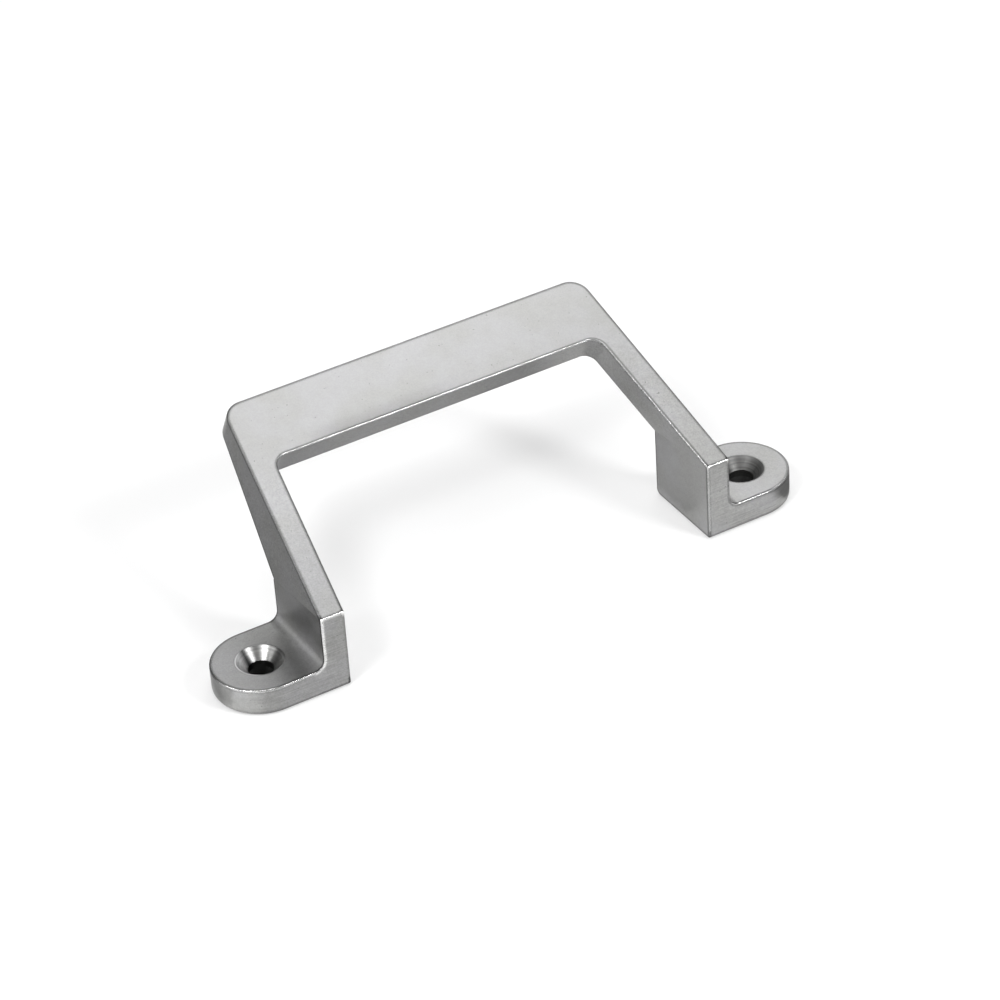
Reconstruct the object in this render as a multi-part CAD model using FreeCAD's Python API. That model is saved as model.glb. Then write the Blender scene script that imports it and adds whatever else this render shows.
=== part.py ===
import FreeCAD, Part
import math
import os

# Offset pull handle: two screw feet, two uprights, and a wedge-shaped plate that
# leans back from the uprights and closes into a grip. Cast in one piece.
# Origin: midway between the two screw holes, on the plane the feet rest on.
# +X along the row of holes, +Y towards the side the grip overhangs, +Z up. Millimetres.

# Feet
foot_width = 20.4
foot_thickness = 6.0
hole_spacing = 114.8
hole_dia = 5.4
countersink_dia = 9.8
countersink_angle = 90.0

# Uprights
upright_gap = 85.3
upright_thickness = 5.4
upright_front_height = 18.1
upright_back_height = 16.0

# Leaning plate: slopes of its two faces, lengths along the front face, lean of its arms
front_slope = 23.6
under_slope = 31.7
front_length = 53.3
window_length = 38.0
outer_lean = 5.9
inner_lean = 6.3
grip_edge_draft = 7.0
grip_back_flare = 0.3

# Radii
grip_corner_radius = 4.3
window_corner_radius = 3.0
upright_foot_radius = 2.2
base_front_radius = 0.5
base_back_radius = 1.4
edge_radius = 0.3

# Values that follow from the sizes above
front_y = -foot_width / 2.0
back_y = foot_width / 2.0
hole_x = hole_spacing / 2.0
inner_x = upright_gap / 2.0
outer_x = inner_x + upright_thickness
cos_front = math.cos(math.radians(front_slope))
sin_front = math.sin(math.radians(front_slope))
tan_under = math.tan(math.radians(under_slope))


def on_plate(x, along, depth):
    """A point of the plate: distance up its front face, and depth square to that face."""
    y = front_y + along * cos_front + depth * sin_front
    z = upright_front_height + along * sin_front - depth * cos_front
    return FreeCAD.Vector(x, y, z)


def plate_depth(along):
    """Thickness of the plate, square to its front face, at a distance up that face."""
    rise = upright_front_height + along * sin_front - upright_back_height
    run = along * cos_front - foot_width
    return (rise - run * tan_under) / (cos_front + sin_front * tan_under)


def closed_wire(points):
    """A closed wire of straight lines through the points."""
    return Part.makePolygon(points + [points[0]])


def edge_through(shape, point):
    """The edge of a shape that passes closest to a point."""
    probe = Part.Vertex(point)
    return min(shape.Edges, key=lambda edge: edge.distToShape(probe)[0])


def is_sharp(shape, edge):
    """True where the two faces beside an edge meet at more than a slight bend."""
    faces = shape.ancestorsOfType(edge, Part.Face)
    if len(faces) != 2:
        return False
    middle = edge.valueAt((edge.FirstParameter + edge.LastParameter) / 2.0)
    normals = []
    for face in faces:
        u, v = face.Surface.parameter(middle)
        normals.append(face.normalAt(u, v))
    return normals[0].getAngle(normals[1]) > math.radians(25.0)


# Plate: outline on the front face, matching outline on the underside, ruled in between
under_length = window_length + plate_depth(window_length) * math.tan(math.radians(grip_edge_draft))
grip_x = outer_x - front_length * math.tan(math.radians(outer_lean))
window_x = inner_x - window_length * math.tan(math.radians(inner_lean))
window_under_x = inner_x - under_length * math.tan(math.radians(inner_lean))
top_depth = plate_depth(front_length)
under_depth = plate_depth(under_length)

front_half = [
    on_plate(grip_x, front_length, 0.0),
    on_plate(outer_x, 0.0, 0.0),
    on_plate(inner_x, 0.0, 0.0),
    on_plate(window_x, window_length, 0.0),
]
under_half = [
    on_plate(grip_x + grip_back_flare, front_length, top_depth),
    FreeCAD.Vector(outer_x, back_y, upright_back_height),
    FreeCAD.Vector(inner_x, back_y, upright_back_height),
    on_plate(window_under_x, under_length, under_depth),
]
outlines = []
for half in (front_half, under_half):
    mirrored = [FreeCAD.Vector(-point.x, point.y, point.z) for point in reversed(half)]
    outlines.append(closed_wire(half + mirrored))
plate = Part.makeLoft(outlines, True, True)

# Rounded outer corners of the grip and rounded upper corners of the window
for corner, radius in ((0, grip_corner_radius), (3, window_corner_radius)):
    middle = (front_half[corner] + under_half[corner]) * 0.5
    for side in (-1, 1):
        corner_edge = edge_through(plate, FreeCAD.Vector(side * middle.x, middle.y, middle.z))
        plate = plate.makeFillet(radius, [corner_edge])

# Uprights and feet
body = plate
for side in (-1, 1):
    profile = closed_wire([
        FreeCAD.Vector(side * inner_x, front_y, 0.0),
        FreeCAD.Vector(side * inner_x, back_y, 0.0),
        FreeCAD.Vector(side * inner_x, back_y, upright_back_height),
        FreeCAD.Vector(side * inner_x, front_y, upright_front_height),
    ])
    upright = Part.Face(profile).extrude(FreeCAD.Vector(side * upright_thickness, 0.0, 0.0))
    corners = [
        FreeCAD.Vector(side * hole_x, front_y, 0.0),
        FreeCAD.Vector(side * (hole_x + foot_width / 2.0), 0.0, 0.0),
        FreeCAD.Vector(side * hole_x, back_y, 0.0),
        FreeCAD.Vector(side * inner_x, back_y, 0.0),
        FreeCAD.Vector(side * inner_x, front_y, 0.0),
    ]
    round_end = Part.Arc(corners[0], corners[1], corners[2]).toShape()
    sides = Part.makePolygon(corners[2:] + corners[:1])
    outline = Part.Wire([round_end] + sides.Edges)
    foot = Part.Face(outline).extrude(FreeCAD.Vector(0.0, 0.0, foot_thickness))
    body = body.fuse([upright, foot])
body = body.removeSplitter()

# Fillet where each upright meets its foot. The rim around the base of each foot is
# rounded at the back and gets close to sharp along the round end, towards the front
for side in (-1, 1):
    seam = edge_through(body, FreeCAD.Vector(side * outer_x, 0.0, foot_thickness))
    body = body.makeFillet(upright_foot_radius, [seam])
    rim = edge_through(body, FreeCAD.Vector(side * (hole_x + foot_width / 2.0), 0.0, 0.0))
    rim_radii = (base_front_radius, base_back_radius)
    if rim.Vertexes[0].Point.y > 0.0:
        rim_radii = (base_back_radius, base_front_radius)
    body = body.makeFillet(rim_radii[0], rim_radii[1], [rim])

# Softened edges
body = body.makeFillet(edge_radius, [edge for edge in body.Edges if is_sharp(body, edge)])

# Screw holes, countersunk from above
countersink_depth = (countersink_dia - hole_dia) / 2.0 / math.tan(math.radians(countersink_angle / 2.0))
for side in (-1, 1):
    hole = Part.makeCylinder(hole_dia / 2.0, foot_thickness, FreeCAD.Vector(side * hole_x, 0.0, 0.0))
    cone = Part.makeCone(hole_dia / 2.0, countersink_dia / 2.0, countersink_depth,
                         FreeCAD.Vector(side * hole_x, 0.0, foot_thickness - countersink_depth))
    body = body.cut(hole.fuse(cone))

os.makedirs("parts", exist_ok=True)
body.Solids[0].exportStep("parts/pull_handle.step")
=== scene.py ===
import bpy
from mathutils import Matrix, Vector

# The handle as one piece of cast, satin metal on a pale floor. Lengths are in metres, on the handle's
# own axes: X along the two screw holes, Y to the back, Z up from the plane the feet rest on.

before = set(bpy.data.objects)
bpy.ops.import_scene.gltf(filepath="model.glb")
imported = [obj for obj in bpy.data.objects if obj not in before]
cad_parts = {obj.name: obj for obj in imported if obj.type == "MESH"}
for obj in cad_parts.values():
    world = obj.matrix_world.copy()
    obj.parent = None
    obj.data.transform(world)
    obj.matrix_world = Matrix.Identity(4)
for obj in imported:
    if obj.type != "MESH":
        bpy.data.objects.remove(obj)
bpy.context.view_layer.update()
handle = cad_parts["pull_handle"]

WHITE = (1, 1, 1, 1)

# Camera: position, axes and lens
CAMERA_AT = (-0.303640, -0.561246, 0.474896)
CAMERA_AXES = (
    (0.859101, 0.334639, -0.387250),
    (-0.508761, 0.475958, -0.717375),
    (-0.055747, 0.813315, 0.579147),
)
SENSOR_MM = 36.0
LENS_MM = 138.97
NEAREST_SEEN = 0.01
FARTHEST_SEEN = 20.0

# Lamps: name, position, size and power, all aimed at one point
LAMPS = (
    ("key", (0.42, 0.00, 0.85), (0.60, 0.60), 0.36),
    ("top", (-0.05, -0.05, 0.95), (0.50, 0.50), 2.80),
    ("key_near", (0.26, 0.20, 0.50), (0.25, 0.25), 0.73),
    ("back_right", (0.35, 0.65, 0.50), (0.50, 0.40), 1.10),
    ("edge_front", (0.35, -0.58, 0.58), (0.20, 0.20), 4.00),
    ("edge_left", (-0.50, -0.20, 0.68), (0.20, 0.20), 3.00),
    ("side_left", (-0.80, 0.10, 0.45), (0.30, 0.30), 2.00),
)
LAMPS_AIM = (0, 0.01, 0.02)

# Cards on the floor that only reflections see, painted shade in the metal's reflections: name, corners and
# grey level
CARD_HEIGHT = 0.0002
FLAGS = (
    ("flag_left", ((-0.300, -0.004), (-0.0682, -0.004), (-0.0686, 0.000), (-0.0684, 0.004), (-0.0660, 0.012),
                   (-0.300, 0.012)), 0.50),
    ("flag_left_far", ((-0.300, 0.012), (-0.052, 0.012), (-0.052, 0.130), (-0.300, 0.130)), 0.30),
    ("flag_right", ((0.0640, -0.030), (0.300, -0.030), (0.300, 0.200), (0.0690, 0.200), (0.0683, 0.0030),
                    (0.0681, -0.0010), (0.0667, -0.0055), (0.0644, -0.0084)), 0.20),
    ("flag_under", ((-0.040, 0.0), (0.0415, 0.0), (0.0415, 0.060), (-0.040, 0.060)), 0.72),
)

# Floor and room
FLOOR_HEIGHT = -0.0002
FLOOR_REACH = 6.0
PAPER_LEVEL = 0.50
ROOM_LEVEL = 0.06
SKY_LEVEL = 1.0

# A fade is a start and an end, and where it has four numbers, the levels there. Without them it rises
# from 0 to 1. A facing is the part of a face's outward direction along one axis.
BACKDROP_FADE = (0.30, 0.12)  # how steeply a ray climbs
FLOOR_GLOW_FADE = (0.025, 0.045, 0.44, 0.50)  # square of the distance from the handle's middle
# Painted shade on the floor: a dark disc under each screw hole, seen through the bore
SHADE_DISC_FADE = (0.0080, 0.0088)  # distance from a screw hole's axis
RIGHT_SHADE_DISC_FADE = (0.0, 0.01, 0.0, 0.07)  # along X: the disc under the right hole is not quite black

# Places on the handle
HOLE_X = 0.0574
PLATE_START_Y = -0.0102
PLATE_START_Z = 0.0181
SLOPE_COSINE = 0.9164
SLOPE_SINE = 0.4003
RIGHT_HALF_FADE = (-0.01, 0.01)  # along X
FRONT_FACING = (-0.60, -0.90)  # along Y
BELOW_PLATE = (0.0192, 0.0184)  # height
ABOVE_UPRIGHT = (0.0184, 0.0192)  # height
PLATE_FACING = (0.80, 0.88)  # along Z
PLATE_HEIGHT = (0.0165, 0.0178)
GRIP_FADE = (0.030, 0.040)  # up the plate
ARM_SIDE_FACING = (0.50, 0.30)  # along Z
ARM_SIDE_HEIGHT = (0.0180, 0.0190)
HOLE_FADE = (0.0052, 0.0049)  # distance from the axis
HOLE_HEIGHT = (0.0020, 0.0026)
HOLLOW_OUTER = (0.0530, 0.0490)  # distance from the middle, along X
HOLLOW_INNER = (0.0476, 0.0480)
HOLLOW_TOP = (0.0125, 0.0075)  # height
HOLLOW_BOTTOM = (0.0045, 0.0055)

# Convex edges are found by looking a short way into the metal. The nearer a convex edge is, the fewer
# directions are free of another face, and these shares of free directions count as beside or on an edge
EDGE_REACH = 0.0008
EDGE_TEST_RAYS = 6
EDGE_START = (0.79, 0.93)  # for a narrow edge and for a wide one
EDGE_FULL = (0.60, 0.80)
FLANK_FADE = (0.99, 0.86)
WIDE_LEFT_FADE = (0.0, -0.01)  # along X
WIDE_FACING = (0.2, 0.4)  # along Z
WIDE_OUTER_FADE = (0.0515, 0.0495, 0.35, 1.0)  # distance from the middle, along X

# Edges get a painted highlight at the front, at the front of the feet's round ends and inside the arms,
# where the metal is painted brighter and made glossier, and painted shade as a dark outline elsewhere. Noise
# breaks the painted highlight up unevenly
HIGHLIGHT_FACING = (-0.42, -0.60)  # along Y
FOOT_END_FADE = (0.0575, 0.0600)  # distance from the middle, along X
FOOT_END_FACING = (0.10, -0.20)  # along Y
ARM_INSIDE_FACING = (-0.30, -0.55)  # outwards from the middle
ARM_INSIDE_HEIGHT = (0.0172, 0.0182)
ARM_INSIDE_BREAKUP = (0.40, 0.60, 0.35, 0.9)
HIGHLIGHT_BREAKUP_FADE = (0.25, 0.45, 0.75, 1.0)

# The painted highlight has its full strength on the left upright and foot, high up, on faces that look up
# and on one strip at the right, and a weak share of it elsewhere
STRONG_LEFT_FADE = (-0.0434, -0.0442)  # along X
STRONG_HEIGHT = (0.0166, 0.0178)
STRONG_FACING = (0.25, 0.45)  # along Z
STRONG_RIGHT_START = (0.0380, 0.0400)  # along X
STRONG_RIGHT_END = (0.0450, 0.0440)
WEAK_SHARE = 0.35
ABOVE_FLOOR_EDGE = (0.0012, 0.0024)  # height: none of it on the lowest edges
# Painted shade: a dark outline in the strip beside every edge
FLANK_SHADE = 0.6

# Noise: scale, detail and roughness. The stretched ones have a scale for each axis.
HIGHLIGHT_BREAKUP = (1800.0, 2.0, 0.5)
GRAIN = (3000.0, 2.0, 0.6)
BLOTCH = (850.0, 3.0, 0.55)
CLOUD = (120.0, 2.0, 0.5)
SPECKS = (1500.0, 1.0, 0.4)
SPECKS_FADE = (0.25, 0.19)
BRUSHING_SCALE = (90.0, 90.0, 3600.0)
BRUSHING = (1.0, 3.0, 0.6)
RINGS_SCALE = (30.0, 30.0, 4200.0)
RINGS = (1.0, 2.0, 0.5)
MIDDLE_HALF = (0.25, 0.75)  # the values that most of a noise lies between

# Levels of the cast metal, its painted edge highlight and shade, and what makes it uneven. The sides of the
# arms have extra grain
METAL_LEVEL = 0.345
HOLLOW_LEVEL = 0.40
EDGE_HIGHLIGHT_LEVEL = 1.0
EDGE_OUTLINE_SHADE = 0.88
GRAIN_DEPTH = 0.09
ARM_SIDE_GRAIN = 1.1
BLOTCH_DEPTH = 0.06
GRIP_SMOOTH = 0.45
CLOUD_FADE = (0.3, 0.7, -0.04, 0.04)
BRUSHING_FADE = (0.25, 0.75, 0.86, 1.14)
SPECKS_DARK = 0.4
TINT_FADE = (0.35, 0.65)
WARM_TINT = (1.0, 1.0, 0.982, 1)
COOL_TINT = (0.992, 0.990, 1.0, 1)

# The colour sockets of a Mix node share their names with others, so they go by number
MIX_COLOR_A = 6
MIX_COLOR_B = 7
MIX_COLOR_RESULT = 2

# Tones that stand in for the photograph's light: across the plate, the front faces and the lower arms,
# darker on the window's upper strip and in a band on the grip above it, brighter on the left round end
PLATE_TONE = (-0.045, 0.045, 1.045, 0.975)  # along X
FRONT_TONE = (-0.050, 0.040, 0.87, 1.03)  # along X
LOWER_ARM_FADE = (0.032, 0.004)  # up the plate
LOWER_ARM_TONE = (-0.040, 0.040, -0.13, 0.12)  # along X
WINDOW_STRIP_DARK = 0.15
ROUND_END_FACING_X = (-0.30, -0.60)
ROUND_END_FACING_Y = (-0.10, -0.35)
ROUND_END_FADE = (-0.0560, -0.0590)  # along X
ROUND_END_BRIGHT = 0.28
GRIP_SHADE_UP_FADE = (0.0425, 0.0380)  # up the plate
GRIP_SHADE_LEFT_FADE = (-0.032, -0.023)  # along X
GRIP_SHADE_RIGHT_FADE = (0.012, -0.008)
GRIP_SHADE_DARK = 0.24

# Turned countersinks: painted reflections in bands round the left one, filled in at its two sides
HOLE_LEVEL = 0.42
BAND_COUNT = 3.0
BAND_TURN = 3.67
BAND_FADE = (-1.0, 1.0, 0.07, 1.0)  # height of the bands' wave
BAND_RIGHT = (0.0005, 0.0030, 0.0, 0.40)  # along X from the hole's axis
BAND_LEFT = (-0.0012, -0.0036, 0.0, 2.0)
# Painted light across the right countersink, darker at its left side
RIGHT_HOLE_FADE = (-0.0040, 0.0030, 0.14, 0.46)  # along X from the hole's axis
RINGS_FADE = (0.3, 0.7, 0.75, 1.15)

# Roughness and relief
METAL_ROUGHNESS = 0.40
ROUGHNESS_SPREAD = 0.03
HOLLOW_ROUGHNESS = 0.52
EDGE_ROUGHNESS = 0.24
LEFT_HOLE_ROUGHNESS = 0.33
RIGHT_HOLE_ROUGHNESS = 0.50
RELIEF = 0.8
PLATE_RELIEF = 0.3
RINGS_RELIEF = 1.5
BUMP_STRENGTH = 0.35
BUMP_DEPTH = 0.00004


class Nodes:
    """Short names for the nodes that a material or the world is made of."""

    def __init__(self, tree):
        self.tree = tree

    def add(self, kind, inputs=None, **settings):
        node = self.tree.nodes.new(kind)
        for name, value in settings.items():
            setattr(node, name, value)
        for name, value in (inputs or {}).items():
            self.feed(node.inputs[name], value)
        return node

    def feed(self, socket, value):
        if isinstance(value, bpy.types.NodeSocket):
            self.tree.links.new(value, socket)
        else:
            socket.default_value = value

    def math(self, operation, first, second=0.0):
        return self.add("ShaderNodeMath", {0: first, 1: second}, operation=operation).outputs[0]

    def chain(self, operation, values):
        result = values[0]
        for value in values[1:]:
            result = self.math(operation, result, value)
        return result

    def plus(self, *values):
        return self.chain("ADD", values)

    def times(self, *values):
        return self.chain("MULTIPLY", values)

    def most(self, *values):
        return self.chain("MAXIMUM", values)

    def without(self, mask, share=1.0):
        """1 outside a mask, and less by a share inside it."""
        return self.math("SUBTRACT", 1.0, self.math("MULTIPLY", mask, share))

    def ramp(self, value, low, high, to_low=0.0, to_high=1.0):
        """Smooth step of a value between two limits, scaled to two levels."""
        node = self.add("ShaderNodeMapRange", {"Value": value, "From Min": low, "From Max": high,
                                               "To Min": to_low, "To Max": to_high},
                        interpolation_type="SMOOTHSTEP")
        return node.outputs["Result"]

    def mix(self, factor, first, second):
        node = self.add("ShaderNodeMix", {"Factor": factor}, data_type="FLOAT")
        self.feed(node.inputs["A"], first)
        self.feed(node.inputs["B"], second)
        return node.outputs["Result"]

    def noise(self, point, scale, detail, roughness):
        """Noise from 0 to 1, about 0.5 on average."""
        node = self.add("ShaderNodeTexNoise", {"Vector": point, "Scale": scale, "Detail": detail,
                                               "Roughness": roughness}, noise_dimensions="3D")
        return node.outputs["Fac"]

    def stretched(self, point, scale):
        node = self.add("ShaderNodeMapping", {"Vector": point, "Scale": scale}, vector_type="POINT")
        return node.outputs["Vector"]

    def split(self, vector):
        return self.add("ShaderNodeSeparateXYZ", {0: vector}).outputs


def add_camera():
    data = bpy.data.cameras.new("camera")
    data.sensor_width = SENSOR_MM
    data.sensor_fit = "HORIZONTAL"
    data.lens = LENS_MM
    data.clip_start = NEAREST_SEEN
    data.clip_end = FARTHEST_SEEN
    camera = bpy.data.objects.new("camera", data)
    bpy.context.scene.collection.objects.link(camera)
    camera.matrix_world = Matrix.Translation(Vector(CAMERA_AT)) @ Matrix(CAMERA_AXES).to_4x4()
    bpy.context.scene.camera = camera


def add_lamp(name, at, size, power):
    """A soft white rectangular lamp."""
    data = bpy.data.lights.new(name, "AREA")
    data.shape = "RECTANGLE"
    data.size, data.size_y = size
    data.energy = power
    lamp = bpy.data.objects.new(name, data)
    lamp.location = Vector(at)
    lamp.rotation_euler = (Vector(LAMPS_AIM) - Vector(at)).to_track_quat("-Z", "Y").to_euler()
    bpy.context.scene.collection.objects.link(lamp)


def seen_directly(n):
    """1 for rays from the camera and for reflected or transmitted ones, so metal mirrors the background."""
    path = n.add("ShaderNodeLightPath").outputs
    return n.most(path["Is Camera Ray"], path["Is Glossy Ray"], path["Is Transmission Ray"])


def hole_distance(n, x, y):
    """Distance from the axis of the nearer screw hole."""
    off_axis = n.math("SUBTRACT", n.math("ABSOLUTE", x), HOLE_X)
    return n.math("SQRT", n.plus(n.times(off_axis, off_axis), n.times(y, y)))


def empty_material(name):
    """A new material without nodes, and the short names for its nodes."""
    material = bpy.data.materials.new(name)
    material.use_nodes = True
    material.node_tree.nodes.clear()
    return material, Nodes(material.node_tree)


def add_sheet(name, corners, height, material):
    """A flat sheet of the stage."""
    mesh = bpy.data.meshes.new(name)
    mesh.from_pydata([(x, y, height) for x, y in corners], [], [tuple(range(len(corners)))])
    mesh.materials.append(material)
    sheet = bpy.data.objects.new(name, mesh)
    bpy.context.scene.collection.objects.link(sheet)
    return sheet


def add_floor():
    """Pale paper that is white where it is seen, with a dark disc of painted shade under each screw hole."""
    material, n = empty_material("floor_paper")
    x, y = n.split(n.add("ShaderNodeTexCoord").outputs["Object"])[:2]
    # Painted shade: the paper and its glow go dark under the screw holes
    unshaded_floor = n.most(n.ramp(hole_distance(n, x, y), *SHADE_DISC_FADE), n.ramp(x, *RIGHT_SHADE_DISC_FADE))
    far = n.plus(n.times(x, x), n.times(y, y))
    glow_level = n.times(seen_directly(n), n.times(unshaded_floor, n.ramp(far, *FLOOR_GLOW_FADE)))
    paper = n.add("ShaderNodeBsdfDiffuse", {"Color": n.times(unshaded_floor, PAPER_LEVEL)})
    glow = n.add("ShaderNodeEmission", {"Color": WHITE, "Strength": glow_level})
    both = n.add("ShaderNodeAddShader", {0: paper.outputs[0], 1: glow.outputs[0]})
    n.add("ShaderNodeOutputMaterial", {"Surface": both.outputs[0]})
    low, high = -FLOOR_REACH, FLOOR_REACH
    add_sheet("floor", ((low, low), (high, low), (high, high), (low, high)), FLOOR_HEIGHT, material)


def add_flag(name, corners, level):
    """A grey card on the floor beside or below the handle. Only reflections in the metal see it, so it puts
    painted shade into them.
    """
    material, n = empty_material(name)
    card = n.add("ShaderNodeBsdfDiffuse", {"Color": (level, level, level, 1)})
    n.add("ShaderNodeOutputMaterial", {"Surface": card.outputs[0]})
    flag = add_sheet(name, corners, CARD_HEIGHT, material)
    for ray in ("camera", "diffuse", "transmission", "volume_scatter", "shadow"):
        setattr(flag, "visible_" + ray, False)


def add_world():
    """A dim room, and a white backdrop behind the floor where it is seen."""
    world = bpy.data.worlds.new("studio")
    bpy.context.scene.world = world
    world.use_nodes = True
    world.node_tree.nodes.clear()
    n = Nodes(world.node_tree)
    room = n.add("ShaderNodeBackground", {"Color": WHITE, "Strength": ROOM_LEVEL})
    white = n.add("ShaderNodeBackground", {"Color": WHITE, "Strength": SKY_LEVEL})
    height = n.split(n.add("ShaderNodeTexCoord").outputs["Generated"])["Z"]
    backdrop = n.times(seen_directly(n), n.ramp(height, *BACKDROP_FADE))
    either = n.add("ShaderNodeMixShader", {"Fac": backdrop, 1: room.outputs[0], 2: white.outputs[0]})
    n.add("ShaderNodeOutputWorld", {"Surface": either.outputs[0]})


class Surface:
    """Where a point of the handle lies, which way its face looks, and masks for the parts of the handle."""

    def __init__(self, n):
        self.point = n.add("ShaderNodeTexCoord").outputs["Object"]
        self.x, self.y, self.z = n.split(self.point)
        self.nx, self.ny, self.nz = n.split(n.add("ShaderNodeNewGeometry").outputs["Normal"])
        self.side = n.math("ABSOLUTE", self.x)
        past_y = n.math("SUBTRACT", self.y, PLATE_START_Y)
        past_z = n.math("SUBTRACT", self.z, PLATE_START_Z)
        self.along = n.plus(n.times(past_y, SLOPE_COSINE), n.times(past_z, SLOPE_SINE))
        radius = hole_distance(n, self.x, self.y)
        self.front = n.times(n.ramp(self.ny, *FRONT_FACING), n.ramp(self.z, *BELOW_PLATE))
        self.plate = n.times(n.ramp(self.nz, *PLATE_FACING), n.ramp(self.z, *PLATE_HEIGHT))
        self.grip = n.times(self.plate, n.ramp(self.along, *GRIP_FADE))
        self.window_strip = n.times(n.ramp(self.ny, *FRONT_FACING), n.ramp(self.z, *ABOVE_UPRIGHT))
        self.arm_side = n.times(n.ramp(self.nz, *ARM_SIDE_FACING), n.ramp(self.z, *ARM_SIDE_HEIGHT))
        self.hole = n.times(n.ramp(radius, *HOLE_FADE), n.ramp(self.z, *HOLE_HEIGHT))
        outer = n.times(n.ramp(self.side, *HOLLOW_OUTER), n.ramp(self.z, *HOLLOW_TOP))
        inner = n.times(n.ramp(self.side, *HOLLOW_INNER), n.ramp(self.z, *HOLLOW_BOTTOM))
        self.hollow = n.times(outer, inner)


def edge_masks(n, at):
    """Masks for the edges with a painted highlight and for the edges with a dark outline of painted shade,
    which take in the metal beside them.
    """
    test = n.add("ShaderNodeAmbientOcclusion", {"Distance": EDGE_REACH}, inside=True, only_local=True,
                 samples=EDGE_TEST_RAYS)
    openness = test.outputs["AO"]
    left_or_top = n.most(n.ramp(at.x, *WIDE_LEFT_FADE), n.ramp(at.nz, *WIDE_FACING))
    wide = n.times(n.ramp(at.z, *BELOW_PLATE), left_or_top, n.ramp(at.side, *WIDE_OUTER_FADE))
    edge = n.ramp(openness, n.mix(wide, *EDGE_START), n.mix(wide, *EDGE_FULL))
    flank = n.times(n.ramp(openness, *FLANK_FADE), n.without(edge))

    # Noise breaks up the painted highlight on the edges
    highlight_breakup = n.noise(at.point, *HIGHLIGHT_BREAKUP)
    outward = n.times(at.nx, n.math("SIGN", at.x))
    foot_end = n.times(n.ramp(at.side, *FOOT_END_FADE), n.ramp(at.ny, *FOOT_END_FACING))
    arm_inside = n.times(n.ramp(outward, *ARM_INSIDE_FACING), n.ramp(at.z, *ARM_INSIDE_HEIGHT))
    arm_inside = n.times(arm_inside, n.ramp(highlight_breakup, *ARM_INSIDE_BREAKUP))
    # Where on the edges the painted highlight falls, and how strongly
    highlight_share = n.most(n.ramp(at.ny, *HIGHLIGHT_FACING), foot_end, arm_inside)
    highlight_share = n.times(highlight_share, n.ramp(highlight_breakup, *HIGHLIGHT_BREAKUP_FADE))
    strong_right = n.times(n.ramp(at.x, *STRONG_RIGHT_START), n.ramp(at.x, *STRONG_RIGHT_END))
    strong = n.most(n.ramp(at.x, *STRONG_LEFT_FADE), n.ramp(at.z, *STRONG_HEIGHT),
                    n.ramp(at.nz, *STRONG_FACING), strong_right)
    highlight_share = n.times(highlight_share, n.mix(strong, WEAK_SHARE, 1.0), n.ramp(at.z, *ABOVE_FLOOR_EDGE))
    # Edges without the painted highlight, and a strip beside every edge, get painted shade as a dark outline
    outline_shade = n.most(n.times(edge, n.without(highlight_share)), n.times(flank, FLANK_SHADE))
    return n.times(edge, highlight_share), outline_shade


def painted_light_tone(n, at):
    """Painted light and shade: the tone of the front faces, the lower arms and the left foot's round end,
    about 1.
    """
    front = n.mix(at.front, 1.0, n.ramp(at.x, *FRONT_TONE))
    lower_arm = n.times(at.plate, n.ramp(at.along, *LOWER_ARM_FADE))
    round_end = n.times(n.ramp(at.nx, *ROUND_END_FACING_X), n.ramp(at.ny, *ROUND_END_FACING_Y),
                        n.ramp(at.x, *ROUND_END_FADE))
    arm_tone = n.times(lower_arm, n.ramp(at.x, *LOWER_ARM_TONE))
    return n.plus(front, arm_tone, n.times(round_end, ROUND_END_BRIGHT))


def cast_shade(n, at, grain, blotch, cloud, brushed, outline_shade):
    """How much lighter or darker than its plain level the cast metal is, from its grain and clouds and from
    painted light and shade.
    """
    sand = n.times(n.ramp(grain, *MIDDLE_HALF, -GRAIN_DEPTH, GRAIN_DEPTH),
                   n.plus(1.0, n.times(at.arm_side, ARM_SIDE_GRAIN)))
    uneven = n.plus(sand, n.ramp(blotch, *MIDDLE_HALF, -BLOTCH_DEPTH, BLOTCH_DEPTH))
    uneven = n.times(uneven, n.mix(at.grip, 1.0, GRIP_SMOOTH))
    # Painted light across the plate, lighter at the left, and painted shade on the window's upper strip
    shade = n.plus(uneven, n.mix(at.plate, 1.0, n.ramp(at.x, *PLATE_TONE)))
    shade = n.times(shade, n.without(at.window_strip, WINDOW_STRIP_DARK))
    shade = n.plus(shade, n.ramp(cloud, *CLOUD_FADE))
    shade = n.times(shade, n.mix(at.front, 1.0, n.ramp(brushed, *BRUSHING_FADE)))
    specks = n.ramp(n.noise(at.point, *SPECKS), *SPECKS_FADE)
    shade = n.times(shade, n.without(specks, SPECKS_DARK), n.without(outline_shade, EDGE_OUTLINE_SHADE), painted_light_tone(n, at))
    # A band of painted shade on the grip, above the window
    grip_shade_sides = n.times(n.ramp(at.x, *GRIP_SHADE_LEFT_FADE), n.ramp(at.x, *GRIP_SHADE_RIGHT_FADE))
    grip_shade_band = n.times(n.ramp(at.along, *GRIP_SHADE_UP_FADE), grip_shade_sides, at.grip)
    return n.times(shade, n.without(grip_shade_band, GRIP_SHADE_DARK))


def turned_level(n, at, rings):
    """Level of the turned countersinks: painted reflections in bands round the left one, an even fade of
    painted light in the right one.
    """
    from_axis = n.math("SUBTRACT", at.x, n.times(n.math("SIGN", at.x), HOLE_X))
    # Painted reflections in bands round the hole's axis
    turn = n.times(n.math("ARCTAN2", at.y, from_axis), BAND_COUNT)
    reflection_bands = n.ramp(n.math("COSINE", n.math("SUBTRACT", turn, BAND_TURN)), *BAND_FADE)
    left = n.most(reflection_bands, n.ramp(from_axis, *BAND_RIGHT), n.ramp(from_axis, *BAND_LEFT))
    painted_reflection = n.mix(n.ramp(at.x, *RIGHT_HALF_FADE), left, n.ramp(from_axis, *RIGHT_HOLE_FADE))
    return n.times(painted_reflection, HOLE_LEVEL, n.ramp(rings, *RINGS_FADE))


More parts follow.
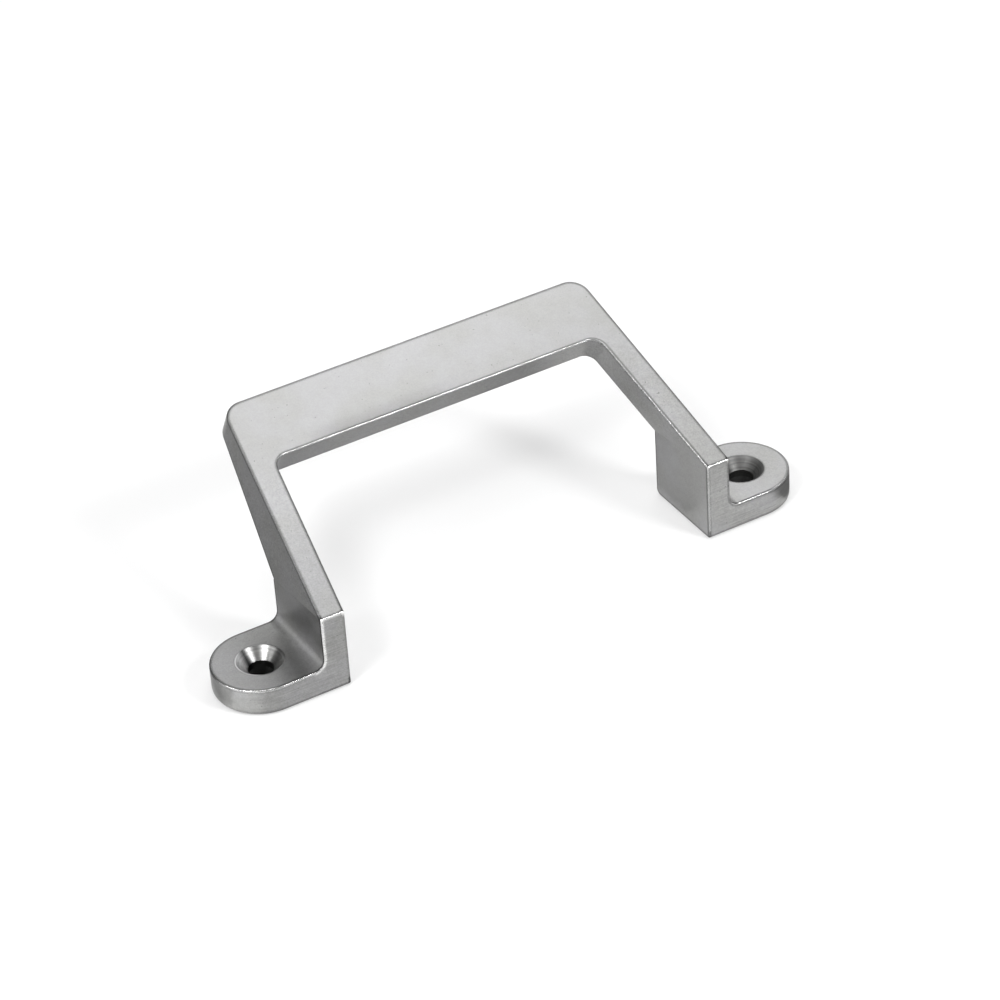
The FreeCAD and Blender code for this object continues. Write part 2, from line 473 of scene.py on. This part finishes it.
def metal():
    """Cast metal, bead blasted, with brushed front faces and turned holes, a painted highlight on some edges
    and painted shade on the others.
    """
    material = bpy.data.materials.new("cast_metal")
    material.use_nodes = True
    shader = material.node_tree.nodes["Principled BSDF"]
    n = Nodes(material.node_tree)
    at = Surface(n)
    # Edges with a painted highlight, and edges and the strips beside them with a dark outline of painted
    # shade
    edge, outline_shade = edge_masks(n, at)

    # Grain at the scale of the blasting beads, clouds, brushing along X, and rings round the holes
    grain = n.noise(at.point, *GRAIN)
    blotch = n.noise(at.point, *BLOTCH)
    cloud = n.noise(at.point, *CLOUD)
    brushed = n.noise(n.stretched(at.point, BRUSHING_SCALE), *BRUSHING)
    rings = n.noise(n.stretched(at.point, RINGS_SCALE), *RINGS)

    # Colour: a level of grey, slightly tinted, with the painted highlights, shade and reflections
    plain = n.mix(edge, n.mix(at.hollow, METAL_LEVEL, HOLLOW_LEVEL), EDGE_HIGHLIGHT_LEVEL)
    cast = n.times(plain, cast_shade(n, at, grain, blotch, cloud, brushed, outline_shade))
    level = n.math("MINIMUM", n.mix(at.hole, cast, turned_level(n, at, rings)), 1.0)
    tint = n.add("ShaderNodeMix", {"Factor": n.ramp(cloud, *TINT_FADE)}, data_type="RGBA")
    tint.inputs[MIX_COLOR_A].default_value = WARM_TINT
    tint.inputs[MIX_COLOR_B].default_value = COOL_TINT
    color = n.add("ShaderNodeVectorMath", {0: tint.outputs[MIX_COLOR_RESULT], "Scale": level},
                  operation="SCALE")
    n.feed(shader.inputs["Base Color"], color.outputs[0])
    shader.inputs["Metallic"].default_value = 1.0

    # Roughness
    rough = n.ramp(blotch, *MIDDLE_HALF, METAL_ROUGHNESS - ROUGHNESS_SPREAD,
                   METAL_ROUGHNESS + ROUGHNESS_SPREAD)
    rough = n.mix(at.hollow, rough, HOLLOW_ROUGHNESS)
    rough = n.mix(edge, rough, EDGE_ROUGHNESS)
    hole_rough = n.ramp(at.x, *RIGHT_HALF_FADE, LEFT_HOLE_ROUGHNESS, RIGHT_HOLE_ROUGHNESS)
    n.feed(shader.inputs["Roughness"], n.mix(at.hole, rough, hole_rough))

    # Relief
    relief = n.times(n.mix(at.front, blotch, brushed), n.mix(at.plate, RELIEF, PLATE_RELIEF))
    height = n.mix(at.hole, n.plus(grain, relief), n.times(rings, RINGS_RELIEF))
    bump = n.add("ShaderNodeBump", {"Height": height, "Strength": BUMP_STRENGTH, "Distance": BUMP_DEPTH})
    n.feed(shader.inputs["Normal"], bump.outputs["Normal"])
    return material


add_camera()
add_floor()
add_world()
for name, at, size, power in LAMPS:
    add_lamp(name, at, size, power)
for name, corners, level in FLAGS:
    add_flag(name, corners, level)
handle.data.materials.clear()
handle.data.materials.append(metal())

bpy.context.scene.view_settings.view_transform = "Standard"
